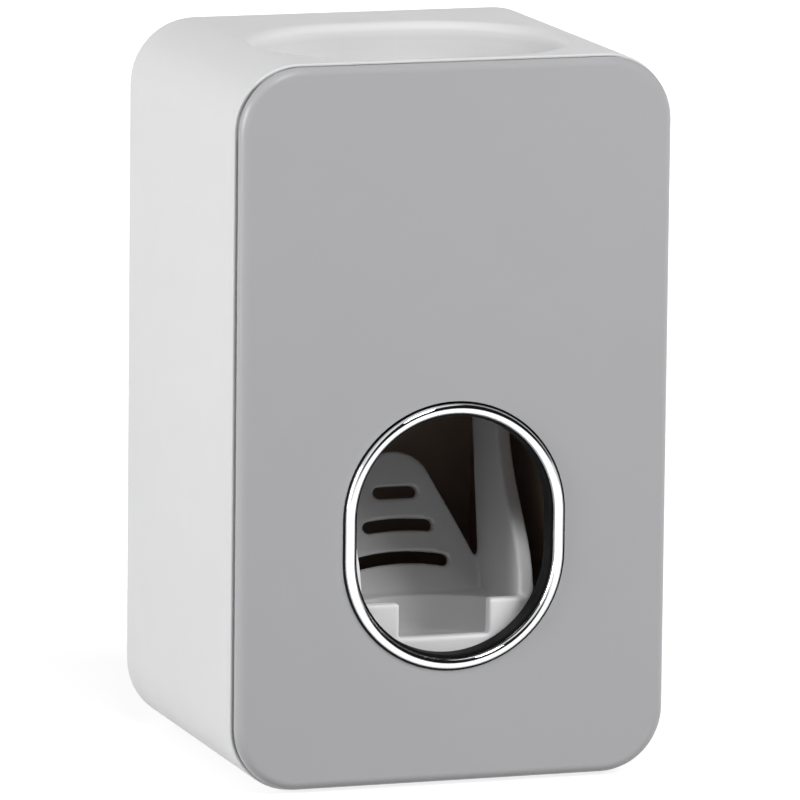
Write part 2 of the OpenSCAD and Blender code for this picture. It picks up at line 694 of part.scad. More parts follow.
module inlet_adapter() color("whitesmoke") translate([0, pump_y, 0]) difference() {
    mouth_z = adapter_head_h + over;
    union() {
        translate([0, 0, adapter_flange_z]) cylinder(r = lip_r, h = adapter_head_h);
        translate([0, 0, adapter_z]) cylinder(r = stem_r + adapter_wall, h = adapter_neck_h + eps);
        translate([-adapter_screw_x, -lug_r, adapter_flange_z])
            cube([2 * adapter_screw_x, 2 * lug_r, lug_t]);
        for (s = [-1, 1]) translate([s * adapter_screw_x, 0, adapter_flange_z])
            cylinder(r = lug_r, h = lug_t);
    }
    translate([0, 0, adapter_z - over]) cylinder(r = stem_hole_r, h = adapter_neck_h + adapter_head_h);
    translate([0, 0, adapter_flange_z]) rotate_extrude() polygon([[0, 0], [stem_hole_r, 0],
        [neck_r, funnel_h], [neck_r + neck_ease, mouth_z], [0, mouth_z]]);
    translate([0, 0, stem_groove_z])
        cylinder(r = stem_hole_r + stem_wire + groove_gap, h = stem_wire + 2 * groove_gap);
    for (s = [-1, 1]) translate([s * adapter_screw_x, 0, adapter_flange_z - over])
        cylinder(r = screw_r + hole_gap, h = lug_t + 2 * over);
}

// Round sealing ring about the pump's axis
module o_ring(r_in, z, wire) {
    translate([0, pump_y, z]) rotate_extrude() translate([r_in + wire / 2, 0]) circle(d = wire, $fn = 24);
}

module stem_seal() color("dimgray")
    o_ring(stem_hole_r, stem_groove_z + stem_wire / 2 + groove_gap, stem_wire);

stem_top_z = adapter_flange_z + yoke_gap;
head_groove_z = head_z + head_h / 2;
groove_r = bore_r - run_gap - head_wire;
head_hole_h = head_floor_t + over;
valve_stem_gap = 0.05;
trunnion_x = arm_out_x - 0.2;

module plunger() color("whitesmoke") translate([0, pump_y, 0]) difference() {
    union() {
        translate([0, 0, head_z]) cylinder(r = stem_r, h = stem_top_z - head_z);
        translate([0, 0, head_z]) cylinder(r = bore_r - run_gap, h = head_h);
        translate([0, 0, yoke_z]) cylinder(r = yoke_r, h = yoke_t);
        translate([-trunnion_x, 0, pin_z]) rotate([0, 90, 0]) cylinder(r = pin_r, h = 2 * trunnion_x);
    }
    translate([0, 0, head_z + head_floor_t]) cylinder(r = passage_r, h = stem_top_z - head_z);
    translate([0, 0, head_groove_z]) difference() {
        translate([0, 0, -head_wire / 2 - groove_gap])
            cylinder(r = bore_r + over, h = head_wire + 2 * groove_gap);
        translate([0, 0, -head_wire]) cylinder(r = groove_r, h = 2 * head_wire);
    }
    for (a = [0:90:270]) rotate([0, 0, a]) translate([valve_ring_r, 0, head_z - over])
        cylinder(r = valve_hole_r, h = head_hole_h + over);
    translate([0, 0, head_z - over]) cylinder(r = valve_stem_r + valve_stem_gap, h = head_hole_h + over);
}

module piston_seal() color("dimgray") o_ring(groove_r, head_groove_z, head_wire);

// Lap of the valve's flap over its holes
flap_lap = 1.7;

module inlet_valve() color("silver") translate([0, pump_y, head_z]) {
    translate([0, 0, -flap_t]) cylinder(r = valve_ring_r + valve_hole_r + flap_lap, h = flap_t);
    translate([0, 0, -flap_t / 2]) cylinder(r = valve_stem_r, h = head_floor_t + flap_t);
    translate([0, 0, head_floor_t]) cylinder(r = valve_ring_r - valve_hole_r, h = flap_t);
}

module pump_cylinder() color("aliceblue") translate([0, pump_y, 0]) difference() {
    union() {
        translate([0, 0, cylinder_z]) cylinder(r = cylinder_r, h = cylinder_top_z - cylinder_z);
        translate([0, 0, flange_z]) linear_extrude(flange_t) {
            circle(yoke_r);
            for (s = [-1, 1]) translate([0, s * pump_screw_off]) circle(ear_r);
        }
        translate([0, 0, spout_z]) cylinder(r = spout_r, h = cylinder_z - spout_z + eps);
    }
    translate([0, 0, chamber_z]) cylinder(r = bore_r, h = cylinder_top_z);
    translate([0, 0, spout_z - over]) cylinder(r = spout_bore_r, h = chamber_z - spout_z + 2 * over);
    for (s = [-1, 1]) translate([0, s * pump_screw_off, flange_z - over])
        cylinder(r = screw_r + hole_gap, h = flange_t + 2 * over);
}

// Round wire that winds up from its seat on the cylinder's flange to the yoke
spring_low_z = flange_z + flange_t + spring_seat_gap;
spring_high_z = yoke_z - spring_seat_gap;
spring_r = cylinder_r + spring_gap + spring_wire / 2;
spring_sides = 6;
spring_rings = 12;
spring_steps = floor(spring_turns * spring_rings);
spring_rise = spring_high_z - spring_low_z - spring_wire;
function spring_point(i) = let(a = 360 * i / spring_rings) [
    spring_r * cos(a), spring_r * sin(a), spring_low_z + spring_wire / 2 + spring_rise * i / spring_steps];
function spring_ring(i) = let(a = 360 * i / spring_rings) [for (k = [0:spring_sides - 1])
    let(b = 360 * k / spring_sides, u = cos(b) * spring_wire / 2, v = sin(b) * spring_wire / 2)
    spring_point(i) + [u * cos(a), u * sin(a), v]];
spring_points = [for (i = [0:spring_steps]) each spring_ring(i)];
turn_gap = spring_rise / spring_turns - spring_wire;
echo(least_gap_between_spring_turns = turn_gap);

module return_spring() color("lightsteelblue") translate([0, pump_y, 0]) polyhedron(
    points = spring_points,
    faces = concat(
        [[for (k = [0:spring_sides - 1]) k]],
        [for (i = [0:spring_steps - 1], k = [0:spring_sides - 1]) let(
            a = i * spring_sides + k, b = i * spring_sides + (k + 1) % spring_sides)
            each [[a, a + spring_sides, b], [b, a + spring_sides, b + spring_sides]]],
        [[for (k = [spring_sides - 1:-1:0]) spring_steps * spring_sides + k]]));

tip_r = 1.6;
tip_edge = 1;
nozzle_shoulder = 0.6;
clamp_z = spout_z + nozzle_shoulder * 2;

module outlet_nozzle() color("snow") translate([0, pump_y, 0]) difference() {
    rotate_extrude() polygon(concat([[0, cylinder_z - pilot_gap], [0, tip_z]],
        arc([tip_r, tip_z + tip_edge], tip_edge, -90, 0, 5), [[nozzle_r, spout_z - nozzle_shoulder]],
        [[nozzle_r, cylinder_z - pilot_gap]]));
    translate([0, 0, spout_z - pilot_gap]) cylinder(r = spout_r + pilot_gap, h = nozzle_h);
    translate([-slit_len / 2, -slit_w / 2, tip_z - over])
        cube([slit_len, slit_w, nozzle_tip_h + 2 * over]);
}

module nozzle_ring() color("whitesmoke") translate([0, pump_y, clamp_z]) difference() {
    cylinder(r = nozzle_r + clamp_wall, h = cylinder_z - clamp_z - pilot_gap);
    translate([0, 0, -over]) cylinder(r = nozzle_r + pilot_gap, h = nozzle_h + over);
}

// Push lever: heights that follow the brush opening
tray_z = opening_z - tray_drop;
recess_z = opening_z - recess_drop;
notch_z = opening_z - notch_drop;
ledge_z = opening_z - ledge_drop;
post_z = opening_z - post_drop;
plate_top_z = opening_z + plate_rise;
tray_rear_d = tray_d + tray_len;
plate_side_gap = 0.4;
plate_half_w = arm_x - plate_side_gap;
plate_side_drop = 8.6;
plate_side_z = opening_z - plate_side_drop;

// The arms' front and rear edges as [depth, height above the opening's centre]
arm_front = [[5.9, -10.8], [6.1, -1.8], [15.6, 2.2], [18.6, 13.4], [20.7, 21]];
arm_rear = [[27.4, -7], [30.4, 11.5], [31.5, 20]];
arm_under_pivot = [10, 12];

// Place of a point of the arm's edges
function on_arm(p) = [p[0], opening_z + p[1]];

// Side view of an arm in depth and z, up to the pivot
arm_side = concat(
    [[tray_rear_d - part_gap, tray_z], [tray_d + tray_r, tray_z], [tray_d + tray_r, ledge_z]],
    curve(on_arm(arm_front[0]), on_arm(arm_front[1]), on_arm(arm_front[2]), on_arm(arm_front[3]), 12),
    curve(on_arm(arm_front[3]), on_arm(arm_front[4]), [pivot_d - 2 * boss_r, pivot_z - arm_under_pivot[0]],
        [pivot_d - boss_r * 0.9, pivot_z - boss_r * 0.4], 10),
    [[pivot_d, pivot_z]],
    curve([pivot_d + boss_r * 0.98, pivot_z - boss_r * 0.2],
        [pivot_d + boss_r * 0.74, pivot_z - arm_under_pivot[1]],
        on_arm(arm_rear[2]), on_arm(arm_rear[1]), 10),
    [on_arm(arm_rear[0])]);

// Front view of the slotted plate in x and z, its sides tangent to its round top
module plate_outline() {
    foot_x = arm_x + arm_t / 5;
    round_z = plate_top_z - plate_round_r;
    drop = round_z - plate_side_z;
    tangent = acos(plate_round_r / norm([plate_half_w, drop])) - atan2(drop, plate_half_w);
    touch = [plate_round_r * cos(tangent), round_z + plate_round_r * sin(tangent)];
    translate([0, round_z]) circle(plate_round_r);
    for (s = [0, 1]) mirror([s, 0]) polygon([[0, recess_z], [0, round_z], touch,
        [plate_half_w, plate_side_z], [foot_x, plate_side_z - 1], [foot_x, recess_z]]);
}

// Round-ended slot that arches up by the given rise
module arched_slot(half_w, z, rise) {
    n = 8;
    for (i = [0:n - 1]) {
        x0 = half_w * (2 * i / n - 1);
        x1 = half_w * (2 * (i + 1) / n - 1);
        y0 = z + rise * (1 - pow(x0 / half_w, 2));
        y1 = z + rise * (1 - pow(x1 / half_w, 2));
        polygon([[x0, y0 - slot_h / 2], [x1, y1 - slot_h / 2],
            [x1, y1 + slot_h / 2], [x0, y0 + slot_h / 2]]);
    }
    for (s = [-1, 1]) translate([s * half_w, z]) circle(slot_h / 2);
}

fork_half = pin_r + fork_gap + fork_wall;
fork_len = fork_reach + 2 * pin_r;

// Arm of the lever with its pivot boss and the fork that works the plunger
module lever_arm() {
    side_slab(arm_x, arm_out_x) {
        polygon(arm_side);
        translate([pivot_d, pivot_z]) circle(boss_r);
        translate([pivot_d, pivot_z]) rotate(-swing / 2) translate([-fork_len, -fork_half])
            square([fork_len, 2 * fork_half]);
    }
    rod_x(pivot_d, pivot_z, boss_r, arm_x, arm_out_x + lever_boss_proud);
}

// Tray under the brush: a front wall with the brush notch, a round recess and a ledge behind it
module lever_tray() difference() {
    inside_d = tray_d + tray_wall;
    translate([0, 0, tray_z]) linear_extrude(post_z - tray_z) {
        translate([-arm_out_x, front_y + tray_d + tray_r]) square([2 * arm_out_x, tray_len - tray_r]);
        translate([-arm_out_x + tray_r, front_y + tray_d])
            square([2 * (arm_out_x - tray_r), tray_r + eps]);
        for (s = [-1, 1]) translate([s * (arm_out_x - tray_r), front_y + tray_d + tray_r]) circle(tray_r);
    }
    translate([-arm_x, front_y + inside_d, ledge_z]) cube([2 * arm_x, tray_len, post_z]);
    translate([0, 0, recess_z]) linear_extrude(post_z) intersection() {
        translate([0, front_y + recess_rear_d - recess_r]) circle(recess_r);
        translate([-arm_x + 1, front_y + inside_d]) square([2 * (arm_x - 1), tray_len]);
    }
    translate([-notch_x, front_y, notch_z]) cube([2 * notch_x, inside_d + over, post_z]);
    translate([-arm_out_x - over, front_y + tray_rear_d - seat_gap, ledge_z + eps])
        cube([2 * (arm_out_x + over), over, post_z]);
}

// Slots of the back plate as [half-width, height above the opening's centre, rise of the arch]
slots = [[2.7, 2.4, 0.02], [4.9, -3.1, 0.35], [7.1, -8.8, 0.75]];

module push_lever() color([0.47, 0.47, 0.48]) difference() {
    slot_half = pin_r + fork_gap;
    union() {
        for (s = [0, 1]) mirror([s, 0, 0]) lever_arm();
        lever_tray();
        translate([0, front_y + plate_foot_d, ledge_z]) rotate([-plate_lean, 0, 0])
            translate([0, 0, -ledge_z]) rotate([90, 0, 0]) translate([0, 0, -plate_t])
            linear_extrude(plate_t) difference() {
                plate_outline();
                for (slot = slots) arched_slot(slot[0], opening_z + slot[1], slot[2]);
            }
    }
    for (s = [0, 1]) mirror([s, 0, 0])
        translate([0, front_y + pivot_d, pivot_z]) rotate([-swing / 2, 0, 0])
        translate([0, -fork_len - over, -slot_half])
        cube([arm_out_x + over, fork_len + over - boss_r - fork_wall / 2, 2 * slot_half]);
    rod_x(pivot_d, pivot_z, pin_r + pin_gap, -frame_boss_x, frame_boss_x);
}

module pivot_pin(s) color("silver") mirror([s > 0 ? 0 : 1, 0, 0]) {
    outer = frame_x + frame_t;
    rod_x(pivot_d, pivot_z, pin_r, arm_clear_x, outer);
    rod_x(pivot_d, pivot_z, pin_r + pin_head_w, outer, outer + pin_head_t);
}

module pivot_pin_left() pivot_pin(-1);
module pivot_pin_right() pivot_pin(1);

module panel_screws() color("gray") for (s = [-1, 1], z = panel_screw_z)
    screw_from_rear(s * boss_x, z, tab_d + tab_t, tab_t + panel_screw_grip);

module frame_screws() color("gray") for (s = [-1, 1], z = frame_screw_z)
    screw_from_rear(s * boss_x, z, frame_back_d, boss_screw_len);

module cover_screws() color("gray") for (s = [-1, 1], z = cover_screw_z)
    screw_from_rear(s * boss_x, z, cover_d + cover_t, boss_screw_len);

module adapter_screws() color("gray") for (s = [-1, 1])
    translate([s * adapter_screw_x, pump_y, adapter_flange_z]) rotate([180, 0, 0]) screw(lug_screw_len);

module pump_screws() color("gray") for (s = [-1, 1])
    translate([0, pump_y + s * pump_screw_off, flange_z + flange_t]) screw(flange_t + saddle_t);

housing();
front_panel();
opening_ring();
inner_frame();
rear_cover();
wall_plate();
adhesive_pad();
tube_seal();
inlet_adapter();
stem_seal();
plunger();
piston_seal();
inlet_valve();
pump_cylinder();
return_spring();
outlet_nozzle();
nozzle_ring();
push_lever();
pivot_pin_left();
pivot_pin_right();
panel_screws();
frame_screws();
cover_screws();
adapter_screws();
pump_screws();
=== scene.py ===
"""Looks of a wall-hung toothpaste dispenser: white body, grey front panel, chrome ring, grey push lever.

Lengths are in millimetres until a mesh or a material is made, unless a comment says metres.
Depths called d are measured back from the panel's face.
"""

import json
import math

import bmesh
import bpy
from mathutils import Matrix, Vector

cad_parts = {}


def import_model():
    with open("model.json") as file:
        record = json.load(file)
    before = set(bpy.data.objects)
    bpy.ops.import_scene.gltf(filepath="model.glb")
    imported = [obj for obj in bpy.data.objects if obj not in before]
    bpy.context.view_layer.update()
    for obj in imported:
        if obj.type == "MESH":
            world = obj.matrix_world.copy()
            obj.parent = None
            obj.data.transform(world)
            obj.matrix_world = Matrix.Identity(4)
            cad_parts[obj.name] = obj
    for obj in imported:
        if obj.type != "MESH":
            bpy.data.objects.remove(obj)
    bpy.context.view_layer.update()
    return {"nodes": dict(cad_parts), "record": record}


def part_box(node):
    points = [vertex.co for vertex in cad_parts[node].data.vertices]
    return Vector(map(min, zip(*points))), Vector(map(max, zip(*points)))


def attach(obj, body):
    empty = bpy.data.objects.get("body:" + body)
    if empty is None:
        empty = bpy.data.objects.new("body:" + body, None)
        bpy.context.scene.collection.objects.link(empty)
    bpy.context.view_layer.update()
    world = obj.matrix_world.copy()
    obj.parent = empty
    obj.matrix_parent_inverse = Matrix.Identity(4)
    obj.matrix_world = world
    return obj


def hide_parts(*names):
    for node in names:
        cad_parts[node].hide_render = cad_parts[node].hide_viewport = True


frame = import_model()

MM = 0.001


def box_mm(node):
    lo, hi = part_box(node)
    return Vector(lo) / MM, Vector(hi) / MM


housing_lo, housing_hi = box_mm("housing")
ring_lo, ring_hi = box_mm("opening_ring")

# Body
FACE_Y = box_mm("front_panel")[0].y
BODY_H = housing_hi.z - housing_lo.z
CREASE_ANGLE = 32.0    # degrees; sharper edges stay creased
NORMAL_WEIGHT = 90

# Opening
OPENING_Z = (ring_lo.z + ring_hi.z) / 2
RING_R = (ring_hi.x - ring_lo.x) / 2
RING_STRAIGHT = (ring_hi.z - ring_lo.z) - 2 * RING_R

# Ring: a bead between an outer foot and an inner lip, with a skirt behind
RING_BAND = 2.4
RING_STEPS = 48        # to a half turn
RING_PROUD = FACE_Y - ring_lo.y
RING_CREASE_ANGLE = 50
FOOT_W = 0.3
FOOT_H = 0.06
FOOT_BEVEL = 0.02
BEAD_STEPS = 24
BEAD_SEAT = 0.01
BEAD_FLATTEN = 0.985
LIP_W = 0.4
LIP_D = 0.3
LIP_BEVEL_W = 0.06
LIP_BEVEL_D = 0.08
LIP_EDGE_R = 0.12
LIP_EDGE_STEPS = 3
SKIRT_D = ring_hi.y - FACE_Y
SKIRT_WALL = 1.1
SKIRT_EDGE_R = 0.25
SKIRT_EDGE_STEPS = 4

# Tube bowl and the painted shade inside it
BOWL_D = 25.0
BOWL_STRAIGHT = 9.6
BOWL_REACH = 21.9
BOWL_SHADE_TOP = 1.0   # below the top face
BOWL_SHADE_FULL = 2.4
BOWL_SHADE = 0.86

# Lever: the softening of its edges and the painted shade at its back
LEVER_VOXEL = 0.28
EDGE_ROUNDS = 6
ARM_ROUNDS = 16
ROUND_FACTOR = 0.5
ARM_INSIDE = 11.0      # from the middle
ARM_TOP = 24.0         # above the opening's middle
ARM_LOW = 18.0         # below the opening's middle
ARM_FADE_INSIDE = 2.0
ARM_FADE_TOP = 4.0
ARM_FADE_LOW = 5.0
LEVER_SHADE_D0 = 7.5
LEVER_SHADE_D1 = 13.0
LEVER_SHADE = 0.78

# Photograph's camera, solved from the body's outline: angles in degrees, lengths in millimetres
CAMERA_AZIMUTH = -18.44
CAMERA_ELEVATION = 10.11
CAMERA_ROLL = 0.63
CAMERA_DISTANCE = 1456.8
CAMERA_LENS = 411.0
CAMERA_SENSOR = 36.0
CAMERA_CLIP_END = 20.0    # metres
CAMERA_AIM = Vector((0.62, FACE_Y + 29.456, 56.397))

# Studio, lengths in metres
FILL = 0.08               # strength of the plain fill light
FLOOR_HALF = 3.0
FLOOR_DROP = 0.0002
FLOOR_GLOW_NEAR = 0.06
FLOOR_GLOW_FAR = 0.6
FLOOR_GLOW = 0.82         # share of full white at the object

# Dark zone of the studio that only reflections see
ZONE_HEIGHTS = (0.12, 0.16, 0.91, 0.94)    # where it fades in and out, 1 = overhead
ZONE_SIDE = (0.766, -0.643, 0.0)           # it covers the half of the studio on this side
ZONE_EDGE = 0.10
ZONE_LEVEL = 0.01

# Noise, and the part of its range that is stretched over a tone or a gloss
NOISE_DETAIL = 3.0
NOISE_ROUGHNESS = 0.55
NOISE_LOW = 0.3
NOISE_HIGH = 0.7

# Finishes: noise scales are per metre, depths and reaches in metres, and a vary is a share of the value
TONE_NOISE = 22.0
GLOSS_NOISE = 140.0
GLOSS_VARY = 0.12
GRAIN_NOISE = 900.0
GRAIN_DEPTH = 0.00002
GRAIN_STRENGTH = 0.25
COAT_ROUGHNESS = 0.12
SUBSURFACE_REACH = 0.002
FOAM_NOISE = 2500.0
FOAM_DEPTH = 0.0001
METAL_TONE_NOISE = 60.0
METAL_TONE_VARY = 0.07
METAL_GLOSS_NOISE = 400.0
METAL_GLOSS_VARY = 0.3
SCRATCH_NOISE = 1500.0
SCRATCH_DEPTH = 0.00001
FLOOR_NOISE = 3.0
FLOOR_DARK = (0.35, 0.35, 0.35)
FLOOR_LIGHT = (0.36, 0.36, 0.36)

# Plating and the painted shade on it: the depths it changes between, and its tones and its turn to dull as
# shares of the way. The first tone is the bright plating; the darker ones are painted shade in the fine
# recess and a painted dark reflection inside the skirt.
PLATING_D0 = -0.10
PLATING_D1 = 0.90
PLATING_AND_PAINTED_SHADE_TONES = (
    (0.008, (0.90, 0.91, 0.92)),
    (0.03, (0.012, 0.012, 0.013)),
    (0.10, (0.012, 0.012, 0.013)),
    (0.30, (0.006, 0.006, 0.0065)),
)
PLATING_DULL_START = 0.2
PLATING_DULL_END = 0.4
PLATING_DULL_ROUGHNESS = 0.6
PLATING_ROUGHNESS = (0.04, 0.09)


# Nodes

class Tree:
    """Short calls for a node tree. A value is a socket to link, or a constant to set."""

    def __init__(self, tree):
        self.nodes = tree.nodes
        self.links = tree.links

    def feed(self, value, socket):
        if isinstance(value, bpy.types.NodeSocket):
            self.links.new(value, socket)
        else:
            socket.default_value = value

    def math(self, operation, *values):
        node = self.nodes.new("ShaderNodeMath")
        node.operation = operation
        for value, socket in zip(values, node.inputs):
            self.feed(value, socket)
        return node.outputs[0]

    def vector(self, operation, *values):
        node = self.nodes.new("ShaderNodeVectorMath")
        node.operation = operation
        for value, socket in zip(values, node.inputs):
            self.feed(value, socket)
        return node.outputs["Value"]

    def stretch(self, value, low, high, to_low=0.0, to_high=1.0):
        node = self.nodes.new("ShaderNodeMapRange")
        self.feed(value, node.inputs["Value"])
        self.feed(low, node.inputs["From Min"])
        self.feed(high, node.inputs["From Max"])
        self.feed(to_low, node.inputs["To Min"])
        self.feed(to_high, node.inputs["To Max"])
        return node.outputs["Result"]

    def ramp(self, value, stops):
        """Colour ramp through stops of (position, colour), in rising order."""
        node = self.nodes.new("ShaderNodeValToRGB")
        elements = node.color_ramp.elements
        for element, (position, color) in zip(elements, (stops[0], stops[-1])):
            element.position = position
            element.color = (*color, 1)
        for position, color in stops[1:-1]:
            elements.new(position).color = (*color, 1)
        self.feed(value, node.inputs["Fac"])
        return node.outputs["Color"]

    def coords(self, kind):
        return self.nodes.new("ShaderNodeTexCoord").outputs[kind]

    def parts(self, kind):
        """X, Y and Z of the Object or Generated coordinates."""
        node = self.nodes.new("ShaderNodeSeparateXYZ")
        self.feed(self.coords(kind), node.inputs[0])
        return node.outputs

    def noise(self, scale):
        node = self.nodes.new("ShaderNodeTexNoise")
        node.inputs["Scale"].default_value = scale
        node.inputs["Detail"].default_value = NOISE_DETAIL
        node.inputs["Roughness"].default_value = NOISE_ROUGHNESS
        self.feed(self.coords("Object"), node.inputs["Vector"])
        return node.outputs["Fac"]

    def drift(self, scale, dark, light):
        """Colour that drifts softly between two tones."""
        return self.ramp(self.noise(scale), ((NOISE_LOW, dark), (NOISE_HIGH, light)))

    def uneven(self, scale, value, vary):
        """Number that drifts softly around a value, by a share of it."""
        low, high = value * (1 - vary), value * (1 + vary)
        return self.stretch(self.noise(scale), NOISE_LOW, NOISE_HIGH, low, high)

    def bump(self, scale, strength, distance):
        node = self.nodes.new("ShaderNodeBump")
        node.inputs["Strength"].default_value = strength
        node.inputs["Distance"].default_value = distance
        self.feed(self.noise(scale), node.inputs["Height"])
        return node.outputs["Normal"]

    def mix_shader(self, share, first, second):
        node = self.nodes.new("ShaderNodeMixShader")
        for value, socket in zip((share, first, second), node.inputs):
            self.feed(value, socket)
        return node.outputs[0]


# Materials

def new_material(name):
    mat = bpy.data.materials.new(name)
    mat.use_nodes = True
    return mat, Tree(mat.node_tree), mat.node_tree.nodes["Principled BSDF"].inputs


def moulded(name, color, roughness, vary, grain=GRAIN_NOISE, grain_depth=GRAIN_DEPTH, coat=0.0,
            subsurface=0.0, shine=0.5):
    """Moulded plastic: a faint drift of tone, a fine surface grain and slightly uneven gloss."""
    mat, tree, shader = new_material(name)
    dark = [c * (1 - vary) for c in color]
    light = [min(1.0, c * (1 + vary)) for c in color]
    tree.feed(tree.drift(TONE_NOISE, dark, light), shader["Base Color"])
    tree.feed(tree.uneven(GLOSS_NOISE, roughness, GLOSS_VARY), shader["Roughness"])
    tree.feed(tree.bump(grain, GRAIN_STRENGTH, grain_depth), shader["Normal"])
    shader["Specular IOR Level"].default_value = shine
    shader["Coat Weight"].default_value = coat
    shader["Coat Roughness"].default_value = COAT_ROUGHNESS
    shader["Subsurface Weight"].default_value = subsurface
    shader["Subsurface Radius"].default_value = (SUBSURFACE_REACH, SUBSURFACE_REACH, SUBSURFACE_REACH)
    return mat


def metal(name, color, roughness, scratch):
    """Plain metal with a faint drift of tone, uneven gloss and fine scratches."""
    mat, tree, shader = new_material(name)
    shader["Metallic"].default_value = 1.0
    dark = [c * (1 - METAL_TONE_VARY) for c in color]
    tree.feed(tree.drift(METAL_TONE_NOISE, dark, color), shader["Base Color"])
    tree.feed(tree.uneven(METAL_GLOSS_NOISE, roughness, METAL_GLOSS_VARY), shader["Roughness"])
    tree.feed(tree.bump(SCRATCH_NOISE, scratch, SCRATCH_DEPTH), shader["Normal"])
    return mat


def plated_with_painted_shade(name):
    """Bright plating, with painted shade that turns it dark in the fine recess around the ring and a
    painted dark reflection that turns it dull black inside its skirt.
    """
    mat, tree, shader = new_material(name)
    shader["Specular IOR Level"].default_value = 0.15
    depth = tree.stretch(tree.parts("Object")["Y"], (FACE_Y + PLATING_D0) * MM, (FACE_Y + PLATING_D1) * MM)
    # Bright plating at the front, painted shade in the recess and a painted dark reflection inside the
    # skirt
    tree.feed(tree.ramp(depth, PLATING_AND_PAINTED_SHADE_TONES), shader["Base Color"])
    dull = tree.stretch(depth, PLATING_DULL_START, PLATING_DULL_END)
    tree.feed(tree.math("SUBTRACT", 1.0, dull), shader["Metallic"])
    gloss = tree.stretch(tree.noise(METAL_GLOSS_NOISE), NOISE_LOW, NOISE_HIGH, *PLATING_ROUGHNESS)
    rough = tree.math("MAXIMUM", gloss, tree.math("MULTIPLY", dull, PLATING_DULL_ROUGHNESS))
    tree.feed(rough, shader["Roughness"])
    return mat


def paint_shade(mat, share, grey):
    """Paints shade: multiplies the base colour by a grey, as far as the share says."""
    tree = Tree(mat.node_tree)
    base = mat.node_tree.nodes["Principled BSDF"].inputs["Base Color"]
    mix = tree.nodes.new("ShaderNodeMix")
    mix.data_type = "RGBA"
    mix.blend_type = "MULTIPLY"
    tree.feed(share, mix.inputs["Factor"])
    tree.feed(base.links[0].from_socket, mix.inputs[6])
    mix.inputs[7].default_value = (grey, grey, grey, 1)
    tree.feed(mix.outputs[2], base)


def paint_bowl_shade(mat):
    """Painted shade: darkens the base colour inside the tube bowl, where light would otherwise dwell
    between its walls.
    """
    tree = Tree(mat.node_tree)
    place = tree.parts("Object")
    side = tree.math("ABSOLUTE", place["X"])
    across = tree.math("MAXIMUM", tree.math("SUBTRACT", side, BOWL_STRAIGHT / 2 * MM), 0.0)
    along = tree.math("SUBTRACT", place["Y"], (FACE_Y + BOWL_D) * MM)
    flat = tree.nodes.new("ShaderNodeCombineXYZ")
    tree.feed(across, flat.inputs[0])
    tree.feed(along, flat.inputs[1])
    inside = tree.math("LESS_THAN", tree.vector("LENGTH", flat.outputs[0]), BOWL_REACH * MM)
    below = tree.stretch(place["Z"], (BODY_H - BOWL_SHADE_TOP) * MM, (BODY_H - BOWL_SHADE_FULL) * MM)
    paint_shade(mat, tree.math("MULTIPLY", inside, below), BOWL_SHADE)


def paint_lever_shade(mat):
    """Painted shade: darkens the base colour of the lever away from the opening, where less light reaches
    it.
    """
    tree = Tree(mat.node_tree)
    front, back = (FACE_Y + LEVER_SHADE_D0) * MM, (FACE_Y + LEVER_SHADE_D1) * MM
    paint_shade(mat, tree.stretch(tree.parts("Object")["Y"], front, back), LEVER_SHADE)


# Colour and roughness, then how far the tone of a plastic drifts or how deep a metal's scratches look
MATERIALS = {
    "white_plastic": moulded("white_plastic", (0.78, 0.78, 0.785), 0.42, 0.008, shine=0.3),
    "panel_plastic": moulded("panel_plastic", (0.45, 0.45, 0.461), 0.36, 0.012, coat=0.15),
    "chrome_ring": plated_with_painted_shade("chrome_ring"),
    "lever_plastic": moulded("lever_plastic", (0.88, 0.88, 0.89), 0.38, 0.012),
    "frame_plastic": moulded("frame_plastic", (0.42, 0.32, 0.26), 0.5, 0.05),
    "clear_white_plastic": moulded("clear_white_plastic", (0.70, 0.72, 0.73), 0.25, 0.01, coat=0.3),
    "silicone": moulded("silicone", (0.66, 0.66, 0.66), 0.5, 0.02, subsurface=0.1),
    "seal_rubber": moulded("seal_rubber", (0.03, 0.03, 0.03), 0.55, 0.05),
    "spring_steel": metal("spring_steel", (0.62, 0.63, 0.65), 0.25, 0.1),
    "pin_steel": metal("pin_steel", (0.60, 0.60, 0.62), 0.25, 0.1),
    "screw_steel": metal("screw_steel", (0.52, 0.52, 0.53), 0.32, 0.15),
    "pad_foam": moulded("pad_foam", (0.74, 0.74, 0.72), 0.75, 0.03, FOAM_NOISE, FOAM_DEPTH),
}
# Painted shade inside the tube bowl and on the lever away from the opening
paint_bowl_shade(MATERIALS["white_plastic"])
paint_lever_shade(MATERIALS["lever_plastic"])


# Solids of the frame

def smooth_by_angle(angle):
    """Node group that shades faces smooth and keeps edges sharper than the angle."""
    group = bpy.data.node_groups.new("smooth_by_angle", "GeometryNodeTree")
    group.interface.new_socket("Geometry", in_out="INPUT", socket_type="NodeSocketGeometry")
    group.interface.new_socket("Geometry", in_out="OUTPUT", socket_type="NodeSocketGeometry")
    tree = Tree(group)
    source, result = tree.nodes.new("NodeGroupInput"), tree.nodes.new("NodeGroupOutput")
    faces = tree.nodes.new("GeometryNodeSetShadeSmooth")
    edges = tree.nodes.new("GeometryNodeSetShadeSmooth")
    faces.domain, edges.domain = "FACE", "EDGE"
    turn = tree.nodes.new("GeometryNodeInputMeshEdgeAngle").outputs["Unsigned Angle"]
    tree.feed(source.outputs[0], faces.inputs["Geometry"])
    tree.feed(faces.outputs["Geometry"], edges.inputs["Geometry"])
    tree.feed(tree.math("LESS_THAN", turn, math.radians(angle)), edges.inputs["Shade Smooth"])
    tree.feed(edges.outputs["Geometry"], result.inputs[0])
    return group


def weight_normals(obj):
    """Normals that follow the larger faces."""
    weighted = obj.modifiers.new("weighted_normals", "WEIGHTED_NORMAL")
    weighted.keep_sharp = True
    weighted.weight = NORMAL_WEIGHT


